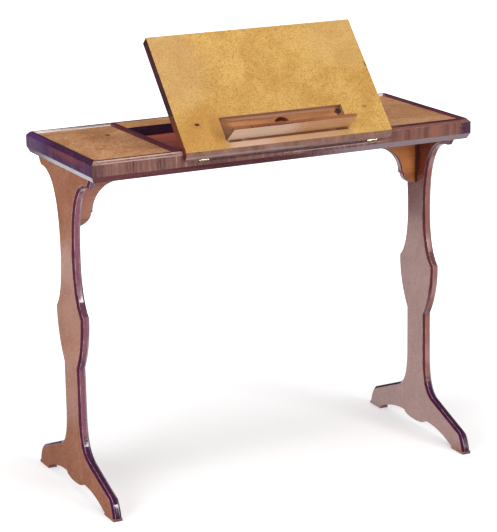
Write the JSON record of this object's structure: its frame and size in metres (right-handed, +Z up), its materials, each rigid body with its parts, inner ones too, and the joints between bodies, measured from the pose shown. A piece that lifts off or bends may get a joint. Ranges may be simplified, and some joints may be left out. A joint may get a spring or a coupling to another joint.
{
  "type": "writing table",
  "caption": "Narrow writing table on shaped end standards with splayed feet and corner brackets; its boxed top has a hinged reading slope with a prop, racks and a folding book ledge.",
  "frame": {"origin": "on the floor under the middle of the top", "axes": "+X along the length, -Y towards the writer, +Z up"},
  "size_m": [0.8406, 0.4099, 0.9187],
  "materials": {
    "golden_veneer": "high gloss polish",
    "dark_rosewood": "high gloss polish",
    "red_mahogany": "satin",
    "brown_veneer": "high gloss polish",
    "brass": "worn, lightly polished"
  },
  "bodies": {
    "table": {"left_end_panel": "golden_veneer", "right_end_panel": "golden_veneer", "rear_strip": "golden_veneer", "front_rail": "dark_rosewood", "rear_rail": "dark_rosewood", "left_end_rail": "dark_rosewood", "right_end_rail": "dark_rosewood", "left_divider": "dark_rosewood", "right_divider": "dark_rosewood", "left_front_foot": "brown_veneer", "left_front_pad": "dark_rosewood", "left_rear_foot": "brown_veneer", "left_rear_pad": "dark_rosewood", "left_upright": "brown_veneer", "left_bracket": "brown_veneer", "left_rack": "red_mahogany", "left_fixed_leaf": "brass", "left_hinge_pin": "brass", "right_front_foot": "brown_veneer", "right_front_pad": "dark_rosewood", "right_rear_foot": "brown_veneer", "right_rear_pad": "dark_rosewood", "right_upright": "brown_veneer", "right_bracket": "brown_veneer", "right_rack": "red_mahogany", "right_fixed_leaf": "brass", "right_hinge_pin": "brass", "base_board": "red_mahogany"},
    "slope": {"slope_board": "golden_veneer", "left_moving_leaf": "brass", "left_ledge_pin": "brass", "left_prop_pin": "brass", "right_moving_leaf": "brass", "right_ledge_pin": "brass", "right_prop_pin": "brass"},
    "prop": {"prop_left_stile": "red_mahogany", "prop_right_stile": "red_mahogany", "prop_head_rail": "red_mahogany", "prop_foot_rail": "red_mahogany"},
    "ledge": {"book_ledge": "golden_veneer"}
  },
  "joints": [
    {"name": "slope_hinge", "type": "hinge", "parent": "table", "child": "slope", "pos_m": [0, -0.1761, 0.6994], "axis": [1, 0, 0], "range_deg": [-48.07, 13.2]},
    {"name": "prop_hinge", "type": "hinge", "parent": "slope", "child": "prop", "pos_m": [0, -0.09531, 0.79496], "axis": [1, 0, 0], "range_deg": [-26.4, 96.14]},
    {"name": "ledge_hinge", "type": "hinge", "parent": "slope", "child": "ledge", "pos_m": [0, -0.16887, 0.73229], "axis": [1, 0, 0], "range_deg": [-95.45, 0]}
  ],
  "couplings": [
    {"joint": "prop_hinge", "follows": "slope_hinge", "ratio": -2}
  ]
}
